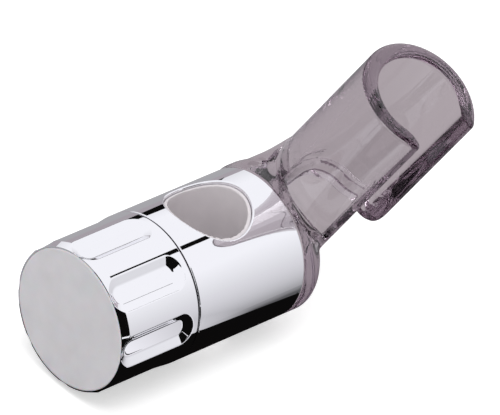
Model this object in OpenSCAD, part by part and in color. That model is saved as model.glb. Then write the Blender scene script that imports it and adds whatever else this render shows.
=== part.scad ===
// Sliding handset holder for a shower riser rail: a chromed barrel across the rail,
// a fluted clamp knob at one end and a clear swivelling C cradle at the other.
// Origin where the rail axis (Z) crosses the barrel axis (X); the user stands at -Y.

/* [Rail and barrel] */
// Diameter of the riser rail
rail_d = 20; // [16:0.5:22]
// Free play between the rail and its liner, on the diameter
rail_play = 0.4; // [0.2:0.1:1]
// Wall of the rail liner
liner_wall = 1.0; // [0.8:0.1:1.6]
// Diameter of the barrel
barrel_d = 40; // [38:0.5:48]
// Length of the chromed sleeve
sleeve_len = 36; // [34:0.5:44]
// Wall of the chromed sleeve
sleeve_wall = 2.4; // [1.6:0.1:3]
// Distance from the rail axis back to the knob end of the sleeve
sleeve_back = 17.5; // [17:0.5:20]
// Radius on the visible ends of the sleeve
sleeve_edge = 0.3; // [0.1:0.1:0.6]
// Width of the glide ring between the core and the knob
glide_w = 2.4; // [1.6:0.1:3]

/* [Clamp knob] */
// Length of the knob shell without its cap
knob_len = 24.4; // [20:0.2:34]
// Wall of the knob shell at its inner face
knob_wall = 3.4; // [3:0.1:4.4]
// Gap between the knob and the sleeve with the clamp released
knob_gap = 0.4; // [0.3:0.05:1]
// Bevel along the front edge of the knob
knob_bevel = 0.8; // [0.4:0.1:1.5]
// Number of finger flutes
flutes = 8; // [6:1:10]
// Width of a flute at the height of the knob's surface line
flute_w = 11.6; // [8:0.2:12]
// Depth of a flute
flute_depth = 1.7; // [0.8:0.1:2]
// Slope of a flute's side walls, measured across one wall
flute_draft = 3.5; // [1:0.1:3.6]
// Distance of a flute's flat floor from the knob's front edge
flute_start = 0.5; // [0.2:0.1:2]
// Plain band between the flutes and the sleeve
flute_margin = 2.6; // [1.6:0.2:5]
// Turn of the first flute away from straight up
flute_turn = 5; // [0:1:22]
// Diameter of the cap
cap_d = 38.6; // [36:0.2:38.8]
// Height of the cap above the knob shell
cap_h = 1.2; // [1:0.1:3]
// Radius of the cap's soft edge
cap_edge = 0.8; // [0.3:0.1:1]
// Depth of the cap's snap skirt in the knob
snap_h = 4; // [2:0.2:6]
// Wall of the cap's snap skirt
snap_t = 1.8; // [1:0.1:2.2]
// Thickness of the knob's inner floor
floor_t = 3.2; // [2.4:0.1:4]
// Wall of the boss round the screw head
boss_t = 2.2; // [1.4:0.1:3]

/* [Clamp screw] */
// Nominal diameter of the clamp screw
screw_d = 8; // [6:1:8]
// Width across flats of the screw head and of the nut
hex_af = 13; // [11:0.5:13]
// Height of the screw head
head_h = 5.3; // [4:0.1:7]
// Height of the nut
nut_h = 5; // [4:0.1:6]
// Diameter of the brake shoe
shoe_d = 15.2; // [15.2:0.1:16]
// Thickness of the grip pad on the brake shoe
pad_t = 1; // [0.6:0.1:1.2]
// Way back that the brake shoe has from its rest position
shoe_back = 1.45; // [1.3:0.05:1.8]

/* [Cradle] */
// Thickness of the cradle disc beside the sleeve
disc_t = 6; // [4:0.2:10]
// Radius of the disc's outer edge
disc_edge = 1.6; // [0.6:0.1:2]
// Forward lean of the socket
lean = 26; // [10:1:35]
// Lean of the socket away from the rail
splay = 5.5; // [2:0.5:8]
// Distance of the socket's foot from the disc, on the socket axis
socket_out = 10.8; // [10.6:0.2:14]
// Set-back of the socket axis towards the wall
socket_back = 0; // [0:0.2:1.4]
// Height of the socket's foot above the barrel axis
socket_rise = 9.7; // [8:0.1:14]
// Length of the socket from foot to mouth
socket_len = 52.4; // [44:0.4:60]
// Outer radius of the socket
socket_r = 16.2; // [15.8:0.1:17]
// Radius of the tapered seat at the mouth
seat_top_r = 11.9; // [11.5:0.1:12.4]
// Radius of the tapered seat at its ledge
seat_foot_r = 11.1; // [10.6:0.1:11.4]
// Height of the ledge that stops the handset, above the foot
ledge_h = 7; // [4:0.5:12]
// Radius of the hole under the ledge
ledge_r = 9.8; // [8.8:0.1:10.2]
// Width of the slot
slot_w = 18.4; // [16:0.2:19]
// Radius of the rounded mouth rim
rim_r = 1.8; // [0.6:0.1:1.9]
// Radius of the long outer edges of the slot
lip_r = 1.5; // [0.5:0.1:1.8]
// Radius of the slot's corners at the mouth
corner_r = 2; // [1:0.5:4]
// Radius of the far lip's corner at the foot
heel_r = 9; // [4:0.5:11]
// Radius of the neck where it leaves the disc
neck_r = 13.2; // [11:0.2:14]
// Set-back of the neck towards the wall
neck_back = 4.9; // [3:0.1:6]
// Rise of the neck above the barrel axis
neck_rise = 4.4; // [3:0.1:6]
// Height at which the neck has joined the socket, above its foot
neck_top = 6; // [3:0.5:9]

/* [Cradle pivot] */
// Diameter of the pivot screw
pivot_d = 5; // [4:0.5:6]
// Depth of the cradle's skirt inside the sleeve
skirt_len = 4.2; // [3:0.1:4.4]
// Running gap between the cradle and the barrel
pivot_gap = 0.3; // [0.2:0.05:0.5]
// Section diameter of the friction ring
ring_d = 1.6; // [1.2:0.1:2]
// Distance of the friction ring's groove from the disc
ring_back = 3.2; // [2.6:0.1:3.6]
// Clear plastic left over the tip of the pivot screw
tip_cover = 1.2; // [0.8:0.1:2]

/* [Hidden] */
$fn = 96;
eps = 0.01;
fit = 0.05;
R = barrel_d / 2;
bore_r = (rail_d + rail_play) / 2;
liner_r = bore_r + liner_wall;
sleeve_r = R - sleeve_wall;
x_back = -sleeve_back;
x_front = sleeve_len - sleeve_back;
// Core, its nose into the knob and its nose into the cradle
core_r = sleeve_r - fit;
nose_r = hex_af / 2 / cos(30) + 2.6;
guide_r = shoe_d / 2 + 0.2;
nut_x = x_back + 1.6 - nut_h;
nose_x = nut_x - 2;
skirt_in = pivot_d / 2 + 9.4;
pivot_nose_r = skirt_in - pivot_gap;
nose_gap = 0.6;
// Knob stations along the barrel axis
knob_x1 = x_back - knob_gap;
knob_x0 = knob_x1 - knob_len;
cap_x0 = knob_x0 - cap_h;
cap_r = cap_d / 2;
shell_r = R - knob_wall;
floor_x = nose_x - nose_gap - floor_t;
head_x = floor_x + nose_gap - head_h;
boss_r = hex_af / 2 / cos(30) + boss_t;
flute_x0 = knob_x0 + flute_start + flute_w / 2 - flute_draft;
flute_x1 = knob_x1 - flute_margin - flute_w / 2;
// Brake shoe stations
shoe_face = bore_r + 0.05;
tip_x = nut_x + nut_h + shoe_back;
glide_r = core_r - 1.4;
// Cradle stations
disc_x0 = x_front + pivot_gap;
disc_x1 = disc_x0 + disc_t;
socket_x = disc_x1 + socket_out;
well_x = liner_r + 4.2;
wave_t = 1.0;
washer_t = 0.8;
pan_h = 2.2;

// Cylinder along the barrel axis from x0 to x1
module bar(x0, x1, r) {
    translate([x0, 0, 0]) rotate([0, 90, 0]) cylinder(h = x1 - x0, r = r);
}

// Ring along the barrel axis
module collar(x0, x1, r_out, r_in) {
    difference() {
        bar(x0, x1, r_out);
        bar(x0 - 1, x1 + 1, r_in);
    }
}

// Round bar with a beveled edge at one or both ends
module eased_bar(x0, x1, r, e0, e1) {
    rotate([0, 90, 0]) rotate_extrude()
        polygon([[0, x0], [r - e0, x0], [r, x0 + e0], [r, x1 - e1], [r - e1, x1], [0, x1]]);
}

// Round bar with a small bevel at x0 and a rounded edge at x1
module rounded_bar(x0, x1, r, e0, r1) {
    rotate([0, 90, 0]) rotate_extrude() polygon(concat(
        [[0, x0], [r - e0, x0], [r, x0 + e0]],
        [for (a = [0 : 15 : 90]) [r - r1 + r1 * cos(a), x1 - r1 + r1 * sin(a)]],
        [[0, x1]]));
}

// Hexagonal bar along the barrel axis
module hex_bar(x0, x1, af) {
    translate([x0, 0, 0]) rotate([0, 90, 0]) cylinder(h = x1 - x0, r = af / 2 / cos(30), $fn = 6);
}

// Bore for the rail along Z
module rail_hole(r) {
    translate([0, 0, -barrel_d]) cylinder(h = 2 * barrel_d, r = r);
}

module sleeve() {
    color("gainsboro") difference() {
        eased_bar(x_back, x_front, R, sleeve_edge, sleeve_edge);
        bar(x_back - 1, x_front + 1, sleeve_r);
        rail_hole(liner_r + fit);
    }
}

module core() {
    color("dimgray") difference() {
        union() {
            bar(x_back, x_front - skirt_len - pivot_gap, core_r);
            bar(x_front - skirt_len - pivot_gap - 1, x_front, pivot_nose_r);
            bar(nose_x, x_back + 1, nose_r);
        }
        rail_hole(liner_r + fit);
        // guide for the brake shoe, nut pocket and clearance for the screw
        bar(nut_x + nut_h, 0, guide_r);
        hex_bar(nut_x, nut_x + nut_h + eps, hex_af + 0.2);
        bar(nose_x - 1, nut_x + 1, screw_d / 2 + 0.3);
        // well for the head of the pivot screw
        bar(0, well_x, pivot_d + 1.4);
        bar(well_x - 1, x_front + 1, pivot_d / 2 + 0.3);
    }
}

module rail_liner() {
    color("darkgray") difference() {
        intersection() {
            translate([0, 0, -R]) cylinder(h = 2 * R, r = liner_r);
            bar(-R, R, R - 0.1);
        }
        rail_hole(bore_r);
        bar(-R, 0, guide_r);
    }
}

module screw_nut() {
    color("goldenrod") difference() {
        hex_bar(nut_x, nut_x + nut_h, hex_af);
        bar(nut_x - 1, nut_x + nut_h + 1, screw_d / 2 + fit);
    }
}

module spring_washer() {
    color("silver") collar(well_x - wave_t, well_x, pivot_d + 0.6, pivot_d / 2 + 0.3);
}

module glide_ring() {
    color("white") collar(x_back - 1, x_back, glide_r, glide_r - glide_w);
}

module brake_shoe() {
    color("gray") difference() {
        bar(tip_x, 0, shoe_d / 2);
        rail_hole(shoe_face + pad_t);
    }
}

module shoe_pad() {
    color("black") intersection() {
        bar(tip_x, 0, shoe_d / 2 - 0.6);
        difference() {
            rail_hole(shoe_face + pad_t);
            rail_hole(shoe_face);
        }
    }
}

module clamp_screw() {
    color("silver") {
        hex_bar(head_x, head_x + head_h, hex_af);
        eased_bar(head_x + head_h - 1, tip_x - fit, screw_d / 2, 0, 1);
    }
}

// One finger flute on top of the knob: a pocket with round ends and sloping walls
module flute() {
    r0 = flute_w / 2 - flute_draft;
    k = flute_draft / flute_depth;
    r1 = flute_w / 2 + k;
    z0 = R - flute_depth;
    h = flute_depth + 1;
    for (x = [flute_x0, flute_x1]) translate([x, 0, z0]) cylinder(h = h, r1 = r0, r2 = r1);
    translate([flute_x0, 0, z0]) rotate([90, 0, 90]) linear_extrude(flute_x1 - flute_x0)
        polygon([[-r0, 0], [r0, 0], [r1, h], [-r1, h]]);
}

// All flutes, spaced evenly round the knob
module flute_row() {
    for (i = [0 : flutes - 1]) rotate([i * 360 / flutes - flute_turn, 0, 0]) flute();
}

module knob() {
    color("gainsboro") difference() {
        union() {
            difference() {
                eased_bar(knob_x0, knob_x1, R, knob_bevel, sleeve_edge);
                bar(knob_x0 - 1, floor_x, shell_r);
                bar(floor_x + floor_t, knob_x1 + 1, nose_r + nose_gap);
                bar(knob_x1 - 0.7 - knob_gap, knob_x1 + 1, core_r - 0.6);
            }
            // boss that holds the screw head
            bar(head_x - 1, floor_x + 1, boss_r);
        }
        hex_bar(head_x - floor_t, head_x + head_h, hex_af + 0.1);
        bar(head_x, floor_x + 2 * floor_t, screw_d / 2 + fit);
        flute_row();
    }
}

module knob_cap() {
    color("whitesmoke") difference() {
        union() {
            rotate([0, 90, 0]) rotate_extrude() polygon(concat(
                [[0, knob_x0], [0, cap_x0]],
                [for (a = [0 : 15 : 90]) [cap_r - cap_edge + cap_edge * sin(a),
                                          cap_x0 + cap_edge - cap_edge * cos(a)]],
                [[cap_r, knob_x0]]));
            // snap skirt inside the knob shell
            collar(knob_x0 - eps, knob_x0 + snap_h, shell_r - fit, shell_r - snap_t);
        }
        flute_row();
    }
}

// Places children in the socket's own frame: Z up the socket, X away from the barrel
module socket_frame() {
    rotate([lean, 0, 0]) translate([socket_x, socket_back, socket_rise])
        rotate([0, splay, 0]) children();
}

// Radius of the tapered seat at height z
function seat(z) = seat_foot_r
    + (seat_top_r - seat_foot_r) * (z - ledge_h) / (socket_len - ledge_h);

// Outer form of the socket with its rounded mouth rim
module socket_form() {
    rotate_extrude() polygon(concat(
        [[0, 0], [socket_r - 0.6, 0], [socket_r, 0.6]],
        [for (a = [0 : 15 : 90]) [socket_r - rim_r + rim_r * cos(a),
                                  socket_len - rim_r + rim_r * sin(a)]],
        [[0, socket_len]]));
}

// Hollow of the socket: the hole under the ledge from z0 up, the tapered seat
// and the flare at the mouth rim
module seat_core(z0) {
    rotate_extrude() polygon(concat(
        [[0, z0], [ledge_r, z0], [ledge_r, ledge_h - 1], [seat(ledge_h), ledge_h]],
        [for (a = [180 : -15 : 90]) [seat(socket_len - rim_r) + rim_r + rim_r * cos(a),
                                     socket_len - rim_r + rim_r * sin(a)]],
        [[seat_top_r + rim_r, socket_len + 2], [0, socket_len + 2]]));
}

// Space of the slot, open to the user's side
module slot_space() {
    translate([-slot_w / 2, -3 * R, -1.5 * R]) cube([slot_w, 3 * R, socket_len + 3 * R]);
}

// Material outside a quarter circle of radius r in the corner at the origin
module corner_2d(r) {
    polygon(concat([[-1, -1], [r, -1]],
                   [for (a = [270 : -10 : 180]) [r + r * cos(a), r + r * sin(a)]],
                   [[-1, r]]));
}

// Cutter that rounds the sharp outer edge of the lip on the side away from the barrel
module lip_edge() {
    cx = slot_w / 2 + lip_r;
    cy = -sqrt(pow(socket_r - lip_r, 2) - pow(cx, 2));
    a1 = 360 + atan2(cy, cx);
    translate([0, 0, -1]) linear_extrude(socket_len + 2) polygon(concat(
        [[slot_w / 2 - 1, -socket_r - 1], [slot_w / 2 - 1, cy]],
        [for (i = [0 : 8]) [cx + lip_r * cos(180 + (a1 - 180) * i / 8),
                            cy + lip_r * sin(180 + (a1 - 180) * i / 8)]],
        [[(socket_r + 1) * cos(a1), (socket_r + 1) * sin(a1)], [cx + lip_r, -socket_r - 1]]));
}

// Cutter that rounds the mouth corner of the same lip
module mouth_corner() {
    translate([slot_w / 2, -4, socket_len]) rotate([90, 0, 0]) mirror([0, 1, 0])
        linear_extrude(socket_r) corner_2d(corner_r);
}

// Cutter that rounds the lip's corner at the foot, seen from the side
module heel() {
    translate([slot_w / 2 - 2, -sqrt(pow(socket_r, 2) - pow(slot_w / 2, 2)), 0])
        rotate([90, 0, 90]) linear_extrude(socket_r) corner_2d(heel_r);
}

// Neck that fills the back of the join between the disc and the socket
module neck_form() {
    hull() {
        translate([disc_x0 + disc_t / 2, neck_back, neck_rise]) rotate([0, 90, 0])
            cylinder(h = disc_t / 3, r = neck_r, $fn = 48);
        socket_frame() intersection() {
            translate([0, 0, 1]) cylinder(h = neck_top - 1, r = socket_r - 0.1, $fn = 64);
            translate([-2 * R, -R / 2, 0]) cube([2 * R + 6, 3 * R, R]);
        }
    }
}

// Disc, neck and socket in one moulding
module cradle_body() {
    difference() {
        union() {
            rounded_bar(disc_x0, disc_x1, R, sleeve_edge, disc_edge);
            neck_form();
            socket_frame() difference() {
                socket_form();
                heel();
            }
        }
        socket_frame() seat_core(1);
        // hole under the ledge, slot and lips, cut no deeper than the face of the disc
        intersection() {
            bar(disc_x1, disc_x1 + 3 * R, 4 * R);
            socket_frame() {
                translate([0, 0, -1.5 * R]) cylinder(h = 1.5 * R + 2, r = ledge_r);
                slot_space();
                lip_edge();
                mouth_corner();
                mirror([1, 0, 0]) {
                    lip_edge();
                    mouth_corner();
                }
            }
        }
    }
}

module cradle() {
    color("thistle", 0.6) difference() {
        union() {
            cradle_body();
            collar(disc_x0 - skirt_len, disc_x0 + 1, sleeve_r - pivot_gap, skirt_in);
        }
        // seat of the friction ring
        difference() {
            bar(disc_x0 - ring_back, disc_x0 - ring_back + ring_d + 0.2, R);
            bar(disc_x0 - skirt_len, disc_x0, sleeve_r - ring_d - 0.1);
        }
        bar(disc_x0 - 1, disc_x1 - tip_cover, pivot_d / 2 + fit);
    }
}

module pivot_screw() {
    color("silver") {
        eased_bar(liner_r + 0.2, liner_r + 0.2 + pan_h, pivot_d * 0.95, 0.8, 0);
        eased_bar(liner_r + pan_h, disc_x1 - tip_cover - 0.4, pivot_d / 2, 0, 0.6);
    }
}

module pivot_washer() {
    color("silver") collar(liner_r + 0.2 + pan_h, liner_r + 0.2 + pan_h + washer_t,
                           pivot_d + 0.5, pivot_d / 2 + fit);
}

module friction_ring() {
    color("black") translate([disc_x0 - ring_back + 0.1 + ring_d / 2, 0, 0]) rotate([0, 90, 0])
        rotate_extrude() translate([sleeve_r - fit - ring_d / 2, 0]) circle(d = ring_d, $fn = 24);
}

sleeve();
core();
rail_liner();
screw_nut();
spring_washer();
glide_ring();
brake_shoe();
shoe_pad();
clamp_screw();
knob();
knob_cap();
cradle();
pivot_screw();
pivot_washer();
friction_ring();
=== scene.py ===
# %% [markdown]
# # A shower rail slider
# The object is a holder for a hand shower. A chromed barrel slides on a vertical
# riser rail, a fluted knob at one end clamps it there, and a clear plastic cradle
# at the other end swivels and holds the handset in a C shaped socket.
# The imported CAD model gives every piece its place, and this script gives the pieces
# their finish. Lengths are in metres unless a name says millimetres.

import math

import bmesh
import bpy
import numpy as np
from mathutils import Matrix, Vector


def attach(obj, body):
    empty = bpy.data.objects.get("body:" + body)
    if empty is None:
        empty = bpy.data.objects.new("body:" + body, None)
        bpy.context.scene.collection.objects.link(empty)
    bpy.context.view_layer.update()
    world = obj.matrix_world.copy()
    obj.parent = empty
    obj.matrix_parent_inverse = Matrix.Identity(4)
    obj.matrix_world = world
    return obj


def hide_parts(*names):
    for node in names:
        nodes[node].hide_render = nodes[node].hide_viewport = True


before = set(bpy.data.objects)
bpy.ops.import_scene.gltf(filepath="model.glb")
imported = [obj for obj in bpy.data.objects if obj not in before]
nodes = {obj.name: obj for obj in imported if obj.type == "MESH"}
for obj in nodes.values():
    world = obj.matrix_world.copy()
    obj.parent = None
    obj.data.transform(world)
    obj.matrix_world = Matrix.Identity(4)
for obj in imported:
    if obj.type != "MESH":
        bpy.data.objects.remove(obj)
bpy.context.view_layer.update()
MM = 0.001
print("nodes:", sorted(nodes))

# %% [markdown]
# ## The camera
# The photograph was taken from above the knob end with a long lens, because the far
# end of the barrel looks as wide as the near end. An orthographic camera would do,
# and a perspective lens from two and a half metres away gives the same picture, so
# a perspective camera is used. It is also turned a little about its own axis.

# %% Camera from the three directions measured in the photograph
VIEW_RIGHT = Vector((0.727, -0.666, 0.156))
VIEW_BACK = Vector((-0.611, -0.528, 0.587))
FRAME_WIDTH = 126.2 * MM
VIEW_SHIFT = (13.43 * MM, 14.54 * MM)
VIEW_DISTANCE = 2.5

back = VIEW_BACK.normalized()
right = (VIEW_RIGHT - back * VIEW_RIGHT.dot(back)).normalized()
up = back.cross(right)
middle = right * VIEW_SHIFT[0] + up * VIEW_SHIFT[1]

camera_data = bpy.data.cameras.new("camera")
camera_data.sensor_fit = "HORIZONTAL"
camera_data.lens = camera_data.sensor_width * VIEW_DISTANCE / FRAME_WIDTH
camera_data.clip_end = 20
camera = bpy.data.objects.new("camera", camera_data)
turn = Matrix((right, up, back)).transposed().to_4x4()
camera.matrix_world = Matrix.Translation(middle + back * VIEW_DISTANCE) @ turn
bpy.context.scene.collection.objects.link(camera)
bpy.context.scene.camera = camera
print("camera lens", round(camera_data.lens), "mm at", VIEW_DISTANCE, "m")

# %% [markdown]
# ## Colours and nodes
# A colour is written as an sRGB hex value, as an image editor shows it. Blender
# reckons in linear light, so one function turns it. One more function adds a shader
# node with its settings and its links, so that a material reads as a short list.


# %% Two small helpers for materials
def linear(hex_colour):
    """sRGB hex colour as a linear RGBA tuple."""
    parts = [int(hex_colour[i : i + 2], 16) / 255 for i in (1, 3, 5)]
    return tuple(
        c / 12.92 if c <= 0.04045 else ((c + 0.055) / 1.055) ** 2.4 for c in parts
    ) + (1.0,)


def add(tree, kind, links=None, **settings):
    """Adds a node. Settings are its properties or inputs; links feed its inputs."""
    node = tree.nodes.new(kind)
    for name, value in settings.items():
        if hasattr(node, name):
            setattr(node, name, value)
        else:
            node.inputs[name.replace("_", " ")].default_value = value
    for socket, source in (links or {}).items():
        tree.links.new(source, node.inputs[socket])
    return node


def new_material(name):
    """An empty material with its output node."""
    material = bpy.data.materials.new(name)
    material.use_nodes = True
    tree = material.node_tree
    tree.nodes.clear()
    return material, tree, tree.nodes.new("ShaderNodeOutputMaterial")


def finish_surface(tree, output, shader):
    tree.links.new(shader.outputs[0], output.inputs["Surface"])


print("white as linear light:", linear("#FFFFFF"))

# %% [markdown]
# ## Object coordinates in millimetres
# The patterns below are sized in millimetres. A vector scaled by 1000 turns object
# coordinates, which are metres, into millimetres, and a noise of scale 1 / s then
# has blotches about s millimetres across.


# %% Noise with a grain size in millimetres
def millimetres(tree):
    """Object coordinates in millimetres."""
    place = add(tree, "ShaderNodeTexCoord")
    return add(
        tree,
        "ShaderNodeVectorMath",
        {0: place.outputs["Object"]},
        operation="SCALE",
        Scale=1000.0,
    )


def noise(tree, source, grain_mm, detail=2.0):
    """Noise with blotches of about grain_mm."""
    return add(
        tree,
        "ShaderNodeTexNoise",
        {"Vector": source.outputs[0]},
        Scale=1 / grain_mm,
        Detail=detail,
        Roughness=0.5,
    )


def spread(tree, source, low, high):
    """Turns a noise, whose values stay near 0.3 to 0.7, into low to high."""
    return add(
        tree,
        "ShaderNodeMapRange",
        {"Value": source.outputs[0]},
        From_Min=0.3,
        From_Max=0.7,
        To_Min=low,
        To_Max=high,
    )


def bump(tree, height, depth_mm):
    """Bump whose height of 1 stands for depth_mm."""
    return add(
        tree,
        "ShaderNodeBump",
        {"Height": height.outputs[0]},
        Distance=depth_mm * MM,
        Strength=1.0,
    )


print("noise scale for a 9 mm wave:", round(1 / 9.0, 3), "per mm")

# %% [markdown]
# ## Finishes
# The knob and the sleeve are ABS, moulded and then electroplated: copper, nickel and
# a thin film of chromium. The film is a mirror with a faint cool tint, and the
# plastic under it leaves slow waves that bend long reflections.


# %% Chrome plate on ABS
def make_chrome():
    """A mirror with waves about 9 mm long and a haze that hardly shows."""
    material, tree, output = new_material("chrome_plated_abs")
    mm = millimetres(tree)
    waves = noise(tree, mm, 9.0, 1.0)
    haze = spread(tree, noise(tree, mm, 4.0), 0.015, 0.035)
    shader = add(
        tree,
        "ShaderNodeBsdfPrincipled",
        {"Roughness": haze.outputs[0], "Normal": bump(tree, waves, 0.012).outputs[0]},
        Base_Color=linear("#F6F6F9"),
        Metallic=1.0,
    )
    finish_surface(tree, output, shader)
    return material


chrome = make_chrome()
FINISH = {"sleeve": chrome, "knob": chrome}
print("made", chrome.name)

# %% [markdown]
# The cap is the same ABS with a satin lacquer, a pale silver grey. Light scatters a
# little in it, so its edge looks soft. Fine tool texture breaks the highlight. The
# liner and the glide ring are acetal, which slides well and looks matt, the core is
# plain grey ABS, and the pad is black rubber. One function makes them all, because
# moulded plastics differ in colour, roughness and the depth of the mould's texture.


# %% Moulded plastics
def make_plastic(name, colour, roughness, grain_mm, depth_mm, soft_mm=0.0):
    """Moulded plastic: cloudy colour, fine mould texture and a set roughness."""
    material, tree, output = new_material(name)
    mm = millimetres(tree)
    cloud = noise(tree, mm, 6.0)
    grain = noise(tree, mm, grain_mm, 3.0)
    pale, deep = linear(colour), tuple(c * 0.93 for c in linear(colour)[:3]) + (1.0,)
    tone = add(
        tree,
        "ShaderNodeMix",
        {"Factor": spread(tree, cloud, 0.0, 1.0).outputs[0]},
        data_type="RGBA",
    )
    tone.inputs[6].default_value = deep
    tone.inputs[7].default_value = pale
    shader = add(
        tree,
        "ShaderNodeBsdfPrincipled",
        {
            "Base Color": tone.outputs[2],
            "Roughness": spread(
                tree, grain, roughness * 0.9, roughness * 1.1
            ).outputs[0],
            "Normal": bump(tree, grain, depth_mm).outputs[0],
        },
        IOR=1.53,
    )
    shader.inputs["Subsurface Weight"].default_value = 0.3 if soft_mm else 0.0
    shader.inputs["Subsurface Scale"].default_value = soft_mm * MM
    finish_surface(tree, output, shader)
    return material


FINISH["knob_cap"] = make_plastic(
    "satin_lacquered_abs", "#DEDCE0", 0.42, 0.35, 0.012, soft_mm=0.6
)
FINISH["rail_liner"] = make_plastic("matt_acetal_liner", "#EFE9EC", 0.55, 0.5, 0.02)
FINISH["core"] = make_plastic("matt_grey_abs", "#4A4A4C", 0.6, 0.5, 0.02)
FINISH["glide_ring"] = make_plastic("white_acetal", "#DAD9D4", 0.35, 0.5, 0.01)
FINISH["brake_shoe"] = FINISH["glide_ring"]
FINISH["shoe_pad"] = make_plastic("black_rubber", "#151515", 0.8, 0.4, 0.03)
FINISH["friction_ring"] = FINISH["shoe_pad"]
print("plastics made:", len(FINISH) - 2, "pieces")

# %% [markdown]
# The nut is turned brass, and the screws and washers are steel with a thin coat of
# zinc. Both have the fine grain that a tool or a plating bath leaves, and it spreads
# the reflections a little. They hide inside, but the pivot screw shows dimly through
# the clear disc.


# %% Brass and zinc plated steel
def make_metal(name, colour, roughness):
    """Turned or plated metal with a fine grain of 0.4 mm."""
    material, tree, output = new_material(name)
    mm = millimetres(tree)
    grain = noise(tree, mm, 0.4, 3.0)
    shader = add(
        tree,
        "ShaderNodeBsdfPrincipled",
        {
            "Roughness": spread(
                tree, grain, roughness * 0.8, roughness * 1.2
            ).outputs[0],
            "Normal": bump(tree, grain, 0.01).outputs[0],
        },
        Base_Color=linear(colour),
        Metallic=1.0,
    )
    finish_surface(tree, output, shader)
    return material


FINISH["screw_nut"] = make_metal("machined_brass", "#C9A45C", 0.3)
steel = make_metal("zinc_plated_steel", "#B4B7BA", 0.35)
for name in ("clamp_screw", "spring_washer", "pivot_screw", "pivot_washer"):
    FINISH[name] = steel
print("made", FINISH["screw_nut"].name, "and", steel.name)

# %% [markdown]
# The cradle is clear polycarbonate tinted to a smoky mauve. Light is lost along its
# way through the plastic, so thick places and rims that turn the light along the
# wall look darker. That is absorption in the volume and not a colour on the surface.


# %% Smoky clear polycarbonate
def make_smoke():
    """Clear plastic that takes light away in its depth, with no surface colour."""
    material, tree, output = new_material("smoky_clear_polycarbonate")
    shader = add(
        tree,
        "ShaderNodeBsdfPrincipled",
        Base_Color=(1, 1, 1, 1),
        Roughness=0.0,
        IOR=1.58,
    )
    shader.inputs["Transmission Weight"].default_value = 1.0
    finish_surface(tree, output, shader)
    volume = add(
        tree, "ShaderNodeVolumeAbsorption", Color=linear("#D2C6D0"), Density=36.0
    )
    tree.links.new(volume.outputs[0], output.inputs["Volume"])
    return material


smoke = make_smoke()
FINISH["cradle"] = smoke
print("made", smoke.name)

# %% [markdown]
# Every node of the CAD model gets its finish, the hidden ones too, because each of
# them may be seen on its own when the part is taken to pieces.

# %% A finish for each piece
for name, material in FINISH.items():
    mesh = nodes[name].data
    mesh.materials.clear()
    mesh.materials.append(material)
print("finishes:", sorted({m.name for m in FINISH.values()}))

# %% [markdown]
# ## Meshes for the pieces that show
# Chrome and clear plastic show every facet and every crease that isn't rounded, so
# the pieces that show get finer meshes of the same form as their CAD solids. Each
# is made of smooth patches. A patch carries its own normals, so that a sharp edge
# between two patches stays sharp and a curved patch shades without facets.


# %% A mesh from smooth patches
def weld(points, digits=6):
    """Gives points that lie together one number, and returns the kept points."""
    keys = np.round(points, digits)
    _, first, number = np.unique(
        keys, axis=0, return_index=True, return_inverse=True
    )
    return points[first], number.reshape(-1)


def make_piece(name, points, faces, normals, material):
    """A mesh object in metres from points in millimetres. faces is a list of corner
    numbers, and normals has one normal for each point of the input."""
    kept, number = weld(points)
    rows, corner_normals = [], []
    for face in faces:
        corners, own = [], []
        for c in face:
            if number[c] not in corners:
                corners.append(int(number[c]))
                own.append(normals[c])
        if len(corners) > 2:
            rows.append(corners)
            corner_normals.extend(own)
    mesh = bpy.data.meshes.new(name)
    mesh.from_pydata((kept * MM).tolist(), [], rows)
    mesh.polygons.foreach_set("use_smooth", [True] * len(rows))
    mesh.normals_split_custom_set([tuple(n) for n in corner_normals])
    mesh.materials.append(material)
    piece = bpy.data.objects.new(name, mesh)
    bpy.context.scene.collection.objects.link(piece)
    print(name, len(mesh.vertices), "points", len(rows), "faces")
    return piece


def grid_faces(rows, columns, start, closed):
    """Quads of a grid of points numbered row by row. closed joins the last column
    to the first one."""
    last = columns if closed else columns - 1
    r, c = np.meshgrid(np.arange(rows - 1), np.arange(last), indexing="ij")
    n = (c + 1) % columns
    here, above = r * columns, (r + 1) * columns
    quads = np.stack([here + c, here + n, above + n, above + c], -1)
    return (quads.reshape(-1, 4) + start).tolist()


def grid_normals(grid, closed):
    """Normals of a grid of points from the slopes along its rows and columns."""
    if closed:
        across = np.roll(grid, -1, 1) - np.roll(grid, 1, 1)
    else:
        across = np.gradient(grid, axis=1)
    along = np.gradient(grid, axis=0)
    normal = np.cross(across, along)
    length = np.linalg.norm(normal, axis=2, keepdims=True)
    return normal / np.maximum(length, 1e-12)


def join_patches(patches, closed):
    """Points, faces and normals of several grid patches."""
    points, faces, normals, start = [], [], [], 0
    for grid in patches:
        points.append(grid.reshape(-1, 3))
        normals.append(grid_normals(grid, closed).reshape(-1, 3))
        faces += grid_faces(grid.shape[0], grid.shape[1], start, closed)
        start += grid.shape[0] * grid.shape[1]
    return np.concatenate(points), faces, np.concatenate(normals)


print("four corners in one place weld to", len(weld(np.zeros((4, 3)))[0]), "point")

# %% [markdown]
# ## The fluted knob
# The knob is turned in plan and carries eight finger flutes with flat floors, gently
# sloping walls and round ends. Its skin is a height field: for each angle and each
# place along the barrel axis, the radius is the lower one of the turned profile and
# the flute. A soft minimum rounds the edges, as plating does.

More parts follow.
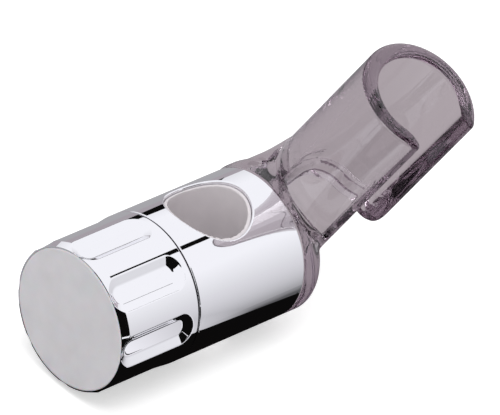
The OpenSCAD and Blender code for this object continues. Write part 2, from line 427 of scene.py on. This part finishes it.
# %% Sizes of the barrel and the knob in millimetres
# R is the barrel's radius. END_SHARE makes a flute's end towards the sleeve steeper.
R = 20.0
KNOB_X0, KNOB_X1 = -42.3, -17.9
CAP_X0, CAP_R = -43.5, 18.95
FLUTES, FLUTE_W, FLUTE_DEPTH, FLUTE_DRAFT = 8, 11.6, 1.7, 3.5
FLUTE_X0 = KNOB_X0 + 0.5 + FLUTE_W / 2 - FLUTE_DRAFT
FLUTE_X1 = KNOB_X1 - 5.4
END_SHARE = 1.6
FLUTE_TURN = math.radians(5)
STEPS = 576
print("flutes:", FLUTES, "from x", FLUTE_X0, "to", FLUTE_X1, "mm")


# %% Forms that are turned, with flutes
def soft_max(a, b, r):
    """The larger of a and b, with the corner between them rounded to about r."""
    h = np.clip(0.5 + 0.5 * (a - b) / r, 0, 1)
    return b + (a - b) * h + r * h * (1 - h) * 0.5


def soft_min(a, b, r):
    """The smaller of a and b, with the corner rounded to about r."""
    return -soft_max(-a, -b, r)


def flute_radius(angle, x):
    """Radius of the floor and the walls of the nearest flute, far out where there is
    none. Angles run from +Z towards -Y."""
    pitch = 2 * math.pi / FLUTES
    off = (angle + FLUTE_TURN + pitch / 2) % pitch - pitch / 2
    floor = R - FLUTE_DEPTH
    end = np.maximum(np.maximum(FLUTE_X0 - x, (x - FLUTE_X1) * END_SHARE), 0)
    radius = np.full_like(off, R)
    for _ in range(5):
        reach = np.hypot(radius * np.sin(off), end) - (FLUTE_W / 2 - FLUTE_DRAFT)
        wall = floor + reach * FLUTE_DEPTH / FLUTE_DRAFT
        radius = soft_max(np.full_like(wall, floor), wall, 0.25) / np.cos(off)
    return radius


def turned(profile, fluted=False):
    """Turns a profile of (x, radius) rows round the barrel axis, and sinks the
    flutes into it."""
    profile = np.array(profile, float)
    angle = np.arange(STEPS) * 2 * math.pi / STEPS
    x = np.repeat(profile[:, :1], STEPS, 1)
    r = np.repeat(profile[:, 1:], STEPS, 1)
    a = np.repeat(angle[None, :], len(profile), 0)
    if fluted:
        r = soft_min(r, flute_radius(a, x), 0.2)
    return np.stack([x, -r * np.sin(a), r * np.cos(a)], -1)


def arc(x, r, radius, start, end, steps=6):
    """Rows (x, radius) of an arc in a profile; angles from +x towards outward."""
    turn = np.radians(np.linspace(start, end, steps + 1))
    return [(x + radius * math.cos(t), r + radius * math.sin(t)) for t in turn]


def line(a, b, step=0.25):
    """Rows from a to b, about step millimetres apart."""
    a, b = np.array(a), np.array(b)
    count = max(int(math.hypot(*(b - a)) / step), 1)
    return [tuple(a + (b - a) * i / count) for i in range(count + 1)]


middle_x = (FLUTE_X0 + FLUTE_X1) / 2
floor_r = flute_radius(np.array([-FLUTE_TURN]), np.array([middle_x]))
print("radius of a flute's floor:", floor_r.round(2), "mm")

# %% [markdown]
# The knob's shell ends in a narrow chrome ring round the cap, and a bevel leads from
# the ring to the full radius. Inside there is a floor with a boss that holds the head
# of the clamp screw, and at the back a recess runs on the glide ring.

# %% Knob shell
FRONT_X, RING_OUT, BEVEL_X = -43.3, 19.25, -41.2
SHELL_R, BOSS_R, POCKET_R, SCREW_R = 16.6, 9.7, 7.6, 4.05
FLOOR_X, FLOOR_BACK = -26.7, -23.5
BOSS_X, POCKET_X = -32.4, -26.1
LIP_R, LIP_X, RECESS_R, REAR_EDGE = 16.95, KNOB_X1 - 1.1, 10.7, 0.3
knob_patches = [
    turned([(KNOB_X0, SHELL_R), (KNOB_X0, CAP_R)], True),
    turned(line((KNOB_X0, CAP_R), (FRONT_X, CAP_R)), True),
    turned(line((FRONT_X, CAP_R), (FRONT_X, RING_OUT), 0.1), True),
    turned(
        line((FRONT_X, RING_OUT), (BEVEL_X, R), 0.15)[:-1]
        + line((BEVEL_X, R), (KNOB_X1 - REAR_EDGE, R))[:-1]
        + arc(KNOB_X1 - REAR_EDGE, R - REAR_EDGE, REAR_EDGE, 90, 0),
        True,
    ),
]
inside = [
    (KNOB_X1, R - REAR_EDGE),
    (KNOB_X1, LIP_R),
    (LIP_X, LIP_R),
    (LIP_X, RECESS_R),
    (FLOOR_BACK, RECESS_R),
    (FLOOR_BACK, SCREW_R),
    (POCKET_X, SCREW_R),
    (POCKET_X, POCKET_R),
    (BOSS_X, POCKET_R),
    (BOSS_X, BOSS_R),
    (FLOOR_X, BOSS_R),
    (FLOOR_X, SHELL_R),
    (KNOB_X0, SHELL_R),
]
knob_patches += [turned(pair) for pair in zip(inside, inside[1:])]
knob = make_piece("fluted_knob", *join_patches(knob_patches, True), chrome)
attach(knob, "knob")
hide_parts("knob")

# %% [markdown]
# ## The cap
# The cap snaps into the open end of the knob. Its face is flat and bare, its edge is
# soft, and the flutes run out over that edge as shallow scallops.

# %% Cap
CAP_EDGE, SPIGOT_OUT, SPIGOT_IN, SPIGOT_X = 0.6, 16.55, 14.8, KNOB_X0 + 4
cap_patches = [
    turned(line((CAP_X0, 0.0), (CAP_X0, CAP_R - CAP_EDGE), 0.8)),
    turned(arc(CAP_X0 + CAP_EDGE, CAP_R - CAP_EDGE, CAP_EDGE, 180, 90, 8), True),
    turned([(CAP_X0 + CAP_EDGE, CAP_R), (KNOB_X0, CAP_R)], True),
    turned(line((KNOB_X0, CAP_R), (KNOB_X0, SPIGOT_OUT), 0.5), True),
    turned([(KNOB_X0, SPIGOT_OUT), (SPIGOT_X, SPIGOT_OUT)]),
    turned([(SPIGOT_X, SPIGOT_OUT), (SPIGOT_X, SPIGOT_IN)]),
    turned([(SPIGOT_X, SPIGOT_IN), (KNOB_X0, SPIGOT_IN)]),
    turned([(KNOB_X0, SPIGOT_IN), (KNOB_X0, 0.0)]),
]
cap = make_piece("knob_end_cap", *join_patches(cap_patches, True), FINISH["knob_cap"])
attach(cap, "knob")
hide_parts("knob_cap")

# %% [markdown]
# ## The sleeve
# The sleeve is a tube with a cross hole for the rail, and the plating rolls over the
# hole's edge. Round the hole the mesh runs in rings that start at the hole and widen
# into the rectangle of the unrolled sleeve, so that no face crosses the edge.

# %% Sleeve with its rolled hole edge
SLEEVE_X0, SLEEVE_X1, SLEEVE_IN = -17.5, 18.5, 17.6
HOLE_R, ROLL, END_EDGE = 11.25, 0.45, 0.3


def unrolled_border(x0, x1, half, count):
    """Points round the rectangle x0..x1 by -half..half, with its corners kept."""
    sides = [((x1, -half), (x1, half)), ((x1, half), (x0, half))]
    sides += [((x0, half), (x0, -half)), ((x0, -half), (x1, -half))]
    rows = []
    for a, b in sides:
        for i in range(count):
            rows.append(np.array(a) + (np.array(b) - a) * i / count)
    return np.array(rows)


def on_barrel(x, angle, radius, sign):
    """Point at x and at an angle from the rail axis, on a cylinder round the barrel."""
    return np.stack(
        [x, sign * -radius * np.sin(angle), sign * radius * np.cos(angle)], -1
    )


def sleeve_half(sign):
    """Patches of the upper (sign 1) or lower (sign -1) half of the sleeve."""
    quarter = math.pi / 2
    count = 64
    border = unrolled_border(SLEEVE_X0 + END_EDGE, SLEEVE_X1 - END_EDGE, quarter, count)
    phi = np.arctan2(border[:, 1] * R * 0.75, border[:, 0])
    sine = np.sin(phi)
    # the roll: an arc between the wall of the hole and the outer surface
    tangent = np.full_like(phi, HOLE_R + ROLL)
    for _ in range(4):
        height = np.sqrt(R**2 - (tangent * sine) ** 2)
        fall = np.arctan(tangent * sine**2 / height)
        tangent = HOLE_R + ROLL + ROLL * np.sin(fall)
    centre = height - ROLL * np.cos(fall)
    share = np.linspace(0, 1, 11)[:, None]
    turn = math.pi + share * (math.pi / 2 - fall - math.pi)
    out = HOLE_R + ROLL + ROLL * np.cos(turn)
    rise = centre + ROLL * np.sin(turn)
    roll = np.stack([out * np.cos(phi), sign * -out * sine, sign * rise], -1)
    # the outer surface, from the roll to the border of the unrolled half
    t = np.linspace(0, 1, 33)[:, None] ** 1.3
    start = np.stack([tangent * np.cos(phi), np.arcsin(tangent * sine / R)], -1)
    x = start[:, 0] + (border[:, 0] - start[:, 0]) * t
    a = start[:, 1] + (border[:, 1] - start[:, 1]) * t
    outer = on_barrel(x, a, R, sign)
    # the wall of the hole and the inner surface
    deep = np.sqrt(SLEEVE_IN**2 - (HOLE_R * sine) ** 2)
    ring = [HOLE_R * np.cos(phi), sign * -HOLE_R * sine]
    wall = np.stack(
        [np.stack([*ring, sign * deep], -1), np.stack([*ring, sign * centre], -1)]
    )
    ends = unrolled_border(SLEEVE_X0, SLEEVE_X1, quarter, count)
    start = np.stack([HOLE_R * np.cos(phi), np.arcsin(HOLE_R * sine / SLEEVE_IN)], -1)
    t = np.linspace(1, 0, 9)[:, None]
    x = start[:, 0] + (ends[:, 0] - start[:, 0]) * t
    a = start[:, 1] + (ends[:, 1] - start[:, 1]) * t
    inner = on_barrel(x, a, SLEEVE_IN, sign)
    closed = [np.concatenate([g, g[:, :1]], 1) for g in (inner, wall, roll, outer)]
    # the two ends, over the rounded edge and down to the inner surface
    for x_end, way in ((SLEEVE_X1, 1), (SLEEVE_X0, -1)):
        first = 0 if way == 1 else 2 * count
        angle = np.take(border[:, 1], range(first, first + count + 1))
        turn = np.radians(np.linspace(90, 0, 5))[:, None]
        x = x_end - way * END_EDGE * (1 - np.cos(turn)) + 0 * angle
        r = R - END_EDGE * (1 - np.sin(turn)) + 0 * angle
        closed.append(on_barrel(x, angle + 0 * x, r, sign))
        x = np.full((2, count + 1), x_end)
        r = np.array([[R - END_EDGE], [SLEEVE_IN]]) + 0 * x
        closed.append(on_barrel(x, angle + 0 * x, r, sign))
    return closed


sleeve_patches = sleeve_half(1) + sleeve_half(-1)
sleeve = make_piece("chromed_sleeve", *join_patches(sleeve_patches, False), chrome)
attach(sleeve, "barrel")
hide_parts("sleeve")

# %% [markdown]
# ## The clear cradle
# The cradle is one moulding: a disc that turns on the barrel, a neck, and a socket
# whose wall ends in rounded beads. Its surfaces flow into each other, which is hard
# to model with polygons and easy with distances. For each point of a grid, a function
# gives the distance to the surface, and a rounded minimum or maximum of two distances
# joins or cuts two forms with a fillet of that radius. A net of faces is then laid
# through the grid where the distance is zero.

# %% Sizes of the cradle in millimetres
DISC_X0, DISC_X1, DISC_EDGE = 18.8, 24.8, 1.6
PIVOT_R, PIVOT_END = 2.55, 23.6
SKIRT_X0, SKIRT_OUT, SKIRT_IN = 14.6, 17.3, 11.9
GROOVE_R, GROOVE_X, GROOVE_HALF = 15.6, 16.5, 0.9
LEAN, SPLAY = math.radians(26), math.radians(5.5)
FOOT = np.array([35.6, 0.0, 9.7])
SOCKET_LEN, SOCKET_R, SEAT_TOP, SEAT_FOOT = 52.4, 16.2, 11.9, 11.1
LEDGE_H, LEDGE_R, SLOT_HALF, HEEL = 7.0, 9.8, 9.2, 9.0
NECK_R, NECK_BACK, NECK_RISE, NECK_TOP = 13.2, 4.9, 4.4, 6.0
RIM, LIP_CORNER, SMALL = 1.8, 1.6, 0.5
print("socket leans and splays by", np.degrees([LEAN, SPLAY]).round(1), "degrees")


# %% Rounded cut and rounded union of two distances
def round_max(a, b, r):
    """Where both forms are: their cut, with its edge rounded to radius r."""
    return np.minimum(np.maximum(a, b), -r) + np.hypot(
        np.maximum(a + r, 0), np.maximum(b + r, 0)
    )


def round_min(a, b, r):
    """Where either form is: their union, with its corner filled to radius r."""
    return -round_max(-a, -b, r)


print("an edge of radius 1 mm ends", round(round_max(0.0, 0.0, 1.0), 2), "mm lower")


# %% From the barrel's frame into the socket's own frame
def socket_frame(p):
    """u away from the barrel, v towards the wall, w up the socket from its foot."""
    x, y, z = p[..., 0], p[..., 1], p[..., 2]
    y, z = (
        y * math.cos(LEAN) + z * math.sin(LEAN),
        z * math.cos(LEAN) - y * math.sin(LEAN),
    )
    x, y, z = x - FOOT[0], y - FOOT[1], z - FOOT[2]
    return (
        x * math.cos(SPLAY) - z * math.sin(SPLAY),
        y,
        z * math.cos(SPLAY) + x * math.sin(SPLAY),
    )


def from_socket(u, v, w):
    """Point of the barrel's frame for a point of the socket's frame."""
    x = u * math.cos(SPLAY) + w * math.sin(SPLAY) + FOOT[0]
    z = w * math.cos(SPLAY) - u * math.sin(SPLAY) + FOOT[2]
    y = v + FOOT[1]
    return np.stack(
        [
            x + 0 * y,
            y * math.cos(LEAN) - z * math.sin(LEAN),
            y * math.sin(LEAN) + z * math.cos(LEAN),
        ],
        -1,
    )


print("middle of the mouth:", from_socket(0.0, 0.0, SOCKET_LEN).round(1), "mm")

# %% [markdown]
# The neck is the tight skin round a circle in the disc and the back of the socket's
# foot. Blender's convex hull finds its planes, and the distance to the neck is the
# largest of the distances to those planes.


# %% Planes of the neck
def neck_planes():
    """Rows of a normal and an offset, one for each plane of the neck's skin."""
    t = np.linspace(0, 2 * math.pi, 72, endpoint=False)
    mesh_points = [
        np.stack(
            [
                np.full_like(t, x),
                NECK_BACK + NECK_R * np.cos(t),
                NECK_RISE + NECK_R * np.sin(t),
            ],
            -1,
        )
        for x in (DISC_X0 + 3, DISC_X1 - 1)
    ]
    u, v = (SOCKET_R - 0.1) * np.cos(t), (SOCKET_R - 0.1) * np.sin(t)
    keep = (u < 6) & (v > -10)
    for w in (1.0, NECK_TOP):
        mesh_points.append(from_socket(u[keep], v[keep], np.full(keep.sum(), w)))
    shell = bmesh.new()
    for p in np.concatenate(mesh_points):
        shell.verts.new(p)
    bmesh.ops.convex_hull(shell, input=shell.verts)
    shell.normal_update()
    centre = np.concatenate(mesh_points).mean(0)
    planes = []
    for face in shell.faces:
        n = np.array(face.normal)
        d = n @ np.array(face.verts[0].co)
        if n @ centre > d:
            n, d = -n, -d
        planes.append([*n, -d])
    shell.free()
    planes = np.array(planes)
    kept = np.unique(np.round(planes, 3), axis=0, return_index=True)[1]
    return planes[np.sort(kept)]


NECK = neck_planes()
print("neck planes:", len(NECK))


# %% Distance to the neck
def neck_distance(p):
    """The largest of the distances to the neck's planes."""
    best = np.full(p.shape[:-1], -1e9)
    for n in NECK:
        np.maximum(best, p @ n[:3] + n[3], out=best)
    return best


# %% [markdown]
# The cradle is built up in the order of a mould: first the outside of the socket with
# its rounded heel, then the neck, then what is hollow, and last the disc and its
# skirt. Only the far lip has the rounded heel, so the heel's cut fades in across the
# slot, and the near lip runs straight down into the neck.


# %% Distance to the whole cradle
def cradle_distance(p):
    """Signed distance in millimetres, below zero inside the plastic."""
    x, out = p[..., 0], np.hypot(p[..., 1], p[..., 2])
    u, v, w = socket_frame(p)
    reach = np.hypot(u, v)
    # the socket and the neck, before they are hollowed
    body = round_max(reach - SOCKET_R, -w, 0.8)
    heel = round_max(-w, -v - math.sqrt(SOCKET_R**2 - SLOT_HALF**2), HEEL)
    body = np.where(u > 3, round_max(body, heel - np.clip(8 - u, 0, 5), 1.6), body)
    body = round_min(body, neck_distance(p), 2.5)
    # the tapered seat, its ledge and the hole under it
    seat_r = SEAT_FOOT + (SEAT_TOP - SEAT_FOOT) * (w - LEDGE_H) / (SOCKET_LEN - LEDGE_H)
    ledge = ((reach - LEDGE_R) - (w - LEDGE_H + 1) * 1.5) / 1.8
    seat = np.maximum(reach - seat_r, ledge)
    hollow = np.minimum(seat, reach - LEDGE_R)
    body = round_max(body, -hollow, SMALL)
    # the mouth and the slot, with beads along their edges
    kept = round_max(
        w - SOCKET_LEN, np.minimum(SLOT_HALF - np.abs(u), -v), LIP_CORNER
    )
    body = round_max(body, kept, RIM)
    # the disc, cut only by the seat, and its skirt with the ring's groove
    disc = round_max(round_max(out - R, x - DISC_X1, DISC_EDGE), DISC_X0 - x, 0.3)
    disc = round_max(disc, -np.maximum(seat, 1 - w), SMALL)
    skirt = np.abs(out - (SKIRT_OUT + SKIRT_IN) / 2) - (SKIRT_OUT - SKIRT_IN) / 2
    skirt = np.maximum(skirt, np.maximum(SKIRT_X0 - x, x - DISC_X0 - 1))
    groove = np.maximum(GROOVE_R - out, np.abs(x - GROOVE_X) - GROOVE_HALF)
    skirt = np.maximum(skirt, -groove)
    whole = np.minimum(round_min(body, disc, 1.5), skirt)
    return np.maximum(whole, -np.maximum(out - PIVOT_R, x - PIVOT_END))


wall = from_socket(0.0, (SOCKET_R + SEAT_TOP) / 2, SOCKET_LEN / 2)
print("depth in the middle of the back wall:", -cradle_distance(wall).round(2), "mm")

# %% [markdown]
# The net has one point in each grid cell that the surface crosses, at the middle of
# the crossings on the cell's edges, and one face across each crossed grid edge. A few
# steps along the slope of the distance then set each point exactly on the surface,
# and that slope is also the normal, so the plastic refracts as a smooth form.


# %% Net of faces through a distance grid
def slopes(distance, points, h=0.02):
    """Gradient of the distance at points."""
    rows = []
    for axis in range(3):
        step = np.zeros(3)
        step[axis] = h
        rows.append(distance(points + step) - distance(points - step))
    return np.stack(rows, -1) / (2 * h)


def net(distance, low, high, step):
    """Points and quads of the zero surface between two corners."""
    axes = [np.arange(a, b + step, step) for a, b in zip(low, high)]
    shape = [len(a) for a in axes]
    value = np.empty(shape)
    for i in range(0, shape[0], 8):
        slab = np.stack(np.meshgrid(axes[0][i : i + 8], *axes[1:], indexing="ij"), -1)
        value[i : i + 8] = distance(slab)
    inside = value < 0
    total = np.zeros([n - 1 for n in shape] + [3])
    count = np.zeros([n - 1 for n in shape])
    for axis in range(3):
        a, b = np.moveaxis(value, axis, 0)[:-1], np.moveaxis(value, axis, 0)[1:]
        crossed = (a < 0) != (b < 0)
        share = np.where(crossed, a / np.where(crossed, a - b, 1), 0)
        for j in (0, 1):
            for k in (0, 1):
                part = (
                    slice(None),
                    slice(j, None if j else -1),
                    slice(k, None if k else -1),
                )
                # this edge is one of the four along its axis in each cell beside it
                here, where = crossed[part], share[part]
                offset = [where, here * float(j), here * float(k)]
                place = [np.moveaxis(o, 0, axis) for o in offset]
                order = [axis] + [n for n in range(3) if n != axis]
                for o, n in zip(place, order):
                    total[..., n] += o
                count += np.moveaxis(here, 0, axis)
    active = count > 0
    number = np.full(active.shape, -1)
    number[active] = np.arange(active.sum())
    cell = np.argwhere(active)
    points = (cell + total[active] / count[active][:, None]) * step + np.array(low)
    faces = []
    for axis in range(3):
        moved = np.moveaxis(inside, axis, 0)
        sign = moved[:-1, 1:-1, 1:-1].astype(int) - moved[1:, 1:-1, 1:-1]
        cells = np.moveaxis(number, axis, 0)
        ring = [
            cells[:, :-1, :-1],
            cells[:, 1:, :-1],
            cells[:, 1:, 1:],
            cells[:, :-1, 1:],
        ]
        quad = np.stack(ring, -1)
        flip = axis == 1
        faces.append(quad[sign > 0][:, :: -1 if flip else 1])
        faces.append(quad[sign < 0][:, :: 1 if flip else -1])
    return points, np.concatenate(faces)


def settle(distance, points, rounds=3):
    """Moves points onto the surface and returns them with their normals."""
    for _ in range(rounds):
        slope = slopes(distance, points)
        size = (slope**2).sum(1, keepdims=True)
        shift = slope * distance(points)[:, None] / np.maximum(size, 0.25)
        points = points - np.clip(shift, -0.3, 0.3)
    slope = slopes(distance, points)
    return points, slope / np.linalg.norm(slope, axis=1, keepdims=True)


NET_STEP = 0.5
points, faces = net(cradle_distance, (14.1, -46, -21), (58, 21.6, 66), NET_STEP)
points, normals = settle(cradle_distance, points)
cradle = make_piece("clear_cradle", points, faces.tolist(), normals, smoke)
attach(cradle, "cradle")
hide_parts("cradle")
print("cradle from", points.min(0).round(1), "to", points.max(0).round(1))

# %% [markdown]
# ## The rail liner
# The liner is a plain tube of matt plastic through the barrel. Its ends follow the
# barrel's curve and lie a little under the chrome edge of the hole, so that the edge
# throws a thin bright line round them. The same net lays its surface, which gives the
# tube's rims their small roundings and cuts the guide of the brake shoe in its side.


# %% Rail liner
LINER_OUT, LINER_IN, LINER_END, LINER_EDGE = 11.18, 10.2, 19.1, 0.3
GUIDE_R = 7.8
LINER_STEP = 0.45


def liner_distance(p):
    """Signed distance in millimetres, below zero inside the liner."""
    x, y, z = p[..., 0], p[..., 1], p[..., 2]
    reach, out = np.hypot(x, y), np.hypot(y, z)
    tube = round_max(reach - LINER_OUT, LINER_IN - reach, LINER_EDGE)
    tube = round_max(tube, out - LINER_END, LINER_EDGE)
    return np.maximum(tube, -np.maximum(out - GUIDE_R, x))


points, faces = net(liner_distance, (-12, -12, -19.5), (12, 12, 19.5), LINER_STEP)
points, normals = settle(liner_distance, points)
liner = make_piece("matt_liner", points, faces.tolist(), normals, FINISH["rail_liner"])
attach(liner, "barrel")
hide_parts("rail_liner")

# %% [markdown]
# ## Floor, world and light
# The photograph was taken on white, in a light tent. A tent gives chrome its broad
# white areas, and black cards beside the object give it the dark bands that show its
# form. The floor and the world look white to the camera, shaded to mirrors and mauve
# grey through clear plastic, and they light the object at a plain level.


# %% What each kind of ray sees of the surroundings
SEEN_WHITE = "#FFFFFF"
SEEN_THROUGH = "#B2A9AE"
SEEN_ABOVE = "#C4BCC2"
LIGHT_LEVEL = 0.6
MIRROR_HORIZON, MIRROR_RISE = 0.79, 0.42


def math_node(tree, operation, first, second, clamp=False):
    """A Math node. Each input is a number or another node's output."""
    node = add(tree, "ShaderNodeMath", operation=operation, use_clamp=clamp)
    for i, value in enumerate((first, second)):
        if isinstance(value, bpy.types.NodeSocket):
            tree.links.new(value, node.inputs[i])
        else:
            node.inputs[i].default_value = value
    return node.outputs[0]


def mix_shaders(tree, factor, first, second):
    """The first shader where the factor is 0, the second where it is 1."""
    links = {0: factor, 1: first.outputs[0], 2: second.outputs[0]}
    return add(tree, "ShaderNodeMixShader", links)


def make_world():
    """White to the camera; a soft slope of light from horizon to top for mirrors;
    a mauve grey, paler above, through the clear plastic; plain white light for the
    rest."""
    world = bpy.data.worlds.new("light_tent")
    bpy.context.scene.world = world
    world.use_nodes = True
    tree = world.node_tree
    tree.nodes.clear()
    path = add(tree, "ShaderNodeLightPath")
    direction = add(tree, "ShaderNodeTexCoord")
    parts = add(tree, "ShaderNodeSeparateXYZ", {0: direction.outputs["Generated"]})
    height = parts.outputs["Z"]
    plain = add(
        tree, "ShaderNodeBackground", Color=linear(SEEN_WHITE), Strength=LIGHT_LEVEL
    )
    white = add(tree, "ShaderNodeBackground", Color=linear(SEEN_WHITE), Strength=1.0)
    slope = math_node(tree, "MULTIPLY_ADD", height, MIRROR_RISE)
    slope.node.inputs[2].default_value = MIRROR_HORIZON
    slope = math_node(tree, "MINIMUM", slope, 1.0)
    mirror = add(
        tree, "ShaderNodeBackground", {"Strength": slope}, Color=linear("#FBFBFF")
    )
    above = math_node(tree, "MULTIPLY_ADD", height, 2.5, clamp=True)
    above.node.inputs[2].default_value = -0.1
    through = add(tree, "ShaderNodeBackground", Color=linear(SEEN_THROUGH))
    paler = add(tree, "ShaderNodeBackground", Color=linear(SEEN_ABOVE))
    through = mix_shaders(tree, above, through, paler)
    both = mix_shaders(tree, path.outputs["Is Camera Ray"], plain, white)
    both = mix_shaders(tree, path.outputs["Is Glossy Ray"], both, mirror)
    both = mix_shaders(tree, path.outputs["Is Transmission Ray"], both, through)
    add(tree, "ShaderNodeOutputWorld", {"Surface": both.outputs[0]})
    return world


world = make_world()
bpy.context.scene.view_settings.view_transform = "Standard"
print("world nodes:", len(world.node_tree.nodes))

# %% [markdown]
# Light that enters a rim of the clear plastic is led along inside the wall and turns
# back from its faces many times before it comes out. With few bounces such a path
# would end in black, so the limits are raised.

# %% Light paths inside the clear plastic
BOUNCES = 48
cycles = bpy.context.scene.cycles
cycles.max_bounces = BOUNCES
cycles.transmission_bounces = BOUNCES
cycles.glossy_bounces = BOUNCES
print("bounces:", cycles.max_bounces)

# %% [markdown]
# ## Floor and cards
# A plain white sheet lies under the slider. The camera sees it as white, except
# where the object shades it. Chrome has no colour of its own, so its look is made by
# what stands round it: a black card under the barrel, a painted shadow, gives the black
# band along its lower side, and the floor and a card behind it are grey to the mirrors.


# %% Cards that only mirrors see
def plain_material(name, colour):
    """A colour that glows by itself, so that no light or shade changes it."""
    material, tree, output = new_material(name)
    shader = add(tree, "ShaderNodeEmission", Color=linear(colour), Strength=1.0)
    finish_surface(tree, output, shader)
    return material


def make_card(name, corners, material, mirrors_only=True):
    """A flat stage card by its corners in millimetres. The cards that are hung for
    the mirrors give no light and no shade."""
    mesh = bpy.data.meshes.new(name)
    mesh.from_pydata([[c * MM for c in p] for p in corners], [], [range(len(corners))])
    mesh.materials.append(material)
    card = bpy.data.objects.new(name, mesh)
    bpy.context.scene.collection.objects.link(card)
    if mirrors_only:
        card.visible_camera = False
        card.visible_diffuse = False
        card.visible_shadow = False
        card.visible_transmission = False
    return card


def level(outline, height):
    """Corners of a level card from its outline in plan."""
    return [(x, y, height) for x, y in outline]


black_card = plain_material("black_card", "#0C0B0B")
grey_card = plain_material("grey_card", "#AAA3A9")
print("card finishes:", black_card.name, grey_card.name)

# %% [markdown]
# The floor is white to the camera, with the shade of the object on it. To the mirrors
# it shows a painted shade: its tone falls towards the barrel's foot, where less light
# comes in, and this gives the sleeve its soft grey above the black band.

# %% Floor
FLOOR_Z = -21.0
FLOOR_WHITE, FLOOR_BEHIND = 0.97, 0.42


def make_floor_material():
    """White to the camera but for the shade on it; for the mirrors a painted shade that
    darkens towards the barrel in front of it, and grey behind it."""
    material, tree, output = new_material("white_floor")
    path = add(tree, "ShaderNodeLightPath")
    diffuse = add(tree, "ShaderNodeBsdfDiffuse", Color=linear("#F4F4F4"))
    glow = add(tree, "ShaderNodeEmission", Color=linear(SEEN_WHITE), Strength=0.5)
    seen = add(
        tree, "ShaderNodeAddShader", {0: diffuse.outputs[0], 1: glow.outputs[0]}
    )
    place = millimetres(tree)
    parts = add(tree, "ShaderNodeSeparateXYZ", {0: place.outputs[0]})
    # painted shade for the mirrors: darker near the barrel's foot in front and towards
    # +x, fading out towards the knob
    front = math_node(tree, "MULTIPLY", parts.outputs["Y"], -1.0)
    gap = math_node(tree, "MAXIMUM", math_node(tree, "SUBTRACT", front, 20.0), 12.0)
    along = math_node(tree, "MULTIPLY_ADD", parts.outputs["X"], 1 / 35, clamp=True)
    along.node.inputs[2].default_value = 15 / 35
    fall = math_node(tree, "MULTIPLY", math_node(tree, "DIVIDE", 8.2, gap), along)
    painted_shade_to_right = math_node(tree, "MULTIPLY", along, 0.18)
    base = math_node(tree, "SUBTRACT", FLOOR_WHITE, painted_shade_to_right)
    shade = math_node(tree, "SUBTRACT", base, fall)
    behind = math_node(tree, "GREATER_THAN", parts.outputs["Y"], 0.0)
    tone = math_node(tree, "MULTIPLY", shade, math_node(tree, "SUBTRACT", 1.0, behind))
    far = math_node(tree, "MULTIPLY", behind, FLOOR_BEHIND)
    tone = math_node(tree, "ADD", tone, far)
    mirror = add(
        tree, "ShaderNodeEmission", {"Strength": tone}, Color=linear("#FBFAFF")
    )
    through = add(tree, "ShaderNodeEmission", Color=linear(SEEN_THROUGH))
    both = mix_shaders(tree, path.outputs["Is Camera Ray"], diffuse, seen)
    both = mix_shaders(tree, path.outputs["Is Glossy Ray"], both, mirror)
    both = mix_shaders(tree, path.outputs["Is Transmission Ray"], both, through)
    finish_surface(tree, output, both)
    return material


FAR = 3000
make_card(
    "floor",
    level([(-FAR, -FAR), (FAR, -FAR), (FAR, FAR), (-FAR, FAR)], FLOOR_Z),
    make_floor_material(),
    mirrors_only=False,
)
print("floor at", FLOOR_Z, "mm")

# %% [markdown]
# The card under the barrel is a painted shadow: a black sheet, seen only by mirrors,
# that stands for the shade under and in front of the barrel. It has a slanting front
# edge, because the black band grows wider towards the knob. Two upright cards before
# the slider and at its left give the flutes their dark ends, and a strip overhead draws
# the dark line along the top of the barrel. A small wedge behind gives the line over
# the rail hole.


# %% Cards round the slider
def standing_card(name, ends, heights, material):
    """A vertical card between two points of the floor plan."""
    (x0, y0), (x1, y1) = ends
    low, high = heights
    corners = [(x0, y0, low), (x1, y1, low), (x1, y1, high), (x0, y0, high)]
    return make_card(name, corners, material)


# painted shadow: this black card stands for the shade under and in front of the barrel
under = [(-300, -300), (100, -300), (30, -110), (-20, -70), (-16, -44)]
under += [(-1, -35.5), (70, -21), (70, 30), (-300, 30)]
make_card("painted_shadow_under_barrel", level(under, FLOOR_Z + 0.4), black_card)
standing_card("grey_behind", ((-900, 700), (1400, 700)), (-20.5, 136), grey_card)
make_card(
    "black_wedge_behind",
    [(40, 120, 42), (100, 120, 34), (100, 120, 74), (40, 120, 54)],
    black_card,
)
standing_card("black_at_left", ((-560, -260), (-330, -560)), (-20, 110), black_card)
standing_card("black_before", ((-480, -500), (150, -500)), (-20, 560), black_card)
strip = [(236, -100), (320, -100), (320, -56), (236, -56)]
make_card("strip_overhead", level(strip, 400), black_card)

# %% [markdown]
# ## The lamp
# One broad soft lamp from above and a little to the left lights the cap, the liner
# and the floor. The mirrors don't see it: they see the world and the cards.


# %% Lamp
LAMP_PLACE, LAMP_SIDE, LAMP_WATTS = Vector((-0.25, -0.2, 0.9)), 0.6, 4.0
lamp_data = bpy.data.lights.new("top_softbox", "AREA")
lamp_data.shape = "RECTANGLE"
lamp_data.size = lamp_data.size_y = LAMP_SIDE
lamp_data.energy = LAMP_WATTS
lamp = bpy.data.objects.new("top_softbox", lamp_data)
aim = (-LAMP_PLACE).to_track_quat("-Z", "Y").to_matrix().to_4x4()
lamp.matrix_world = Matrix.Translation(LAMP_PLACE) @ aim
lamp.visible_glossy = False
bpy.context.scene.collection.objects.link(lamp)
print("lamp:", LAMP_WATTS, "W,", LAMP_SIDE, "m square")
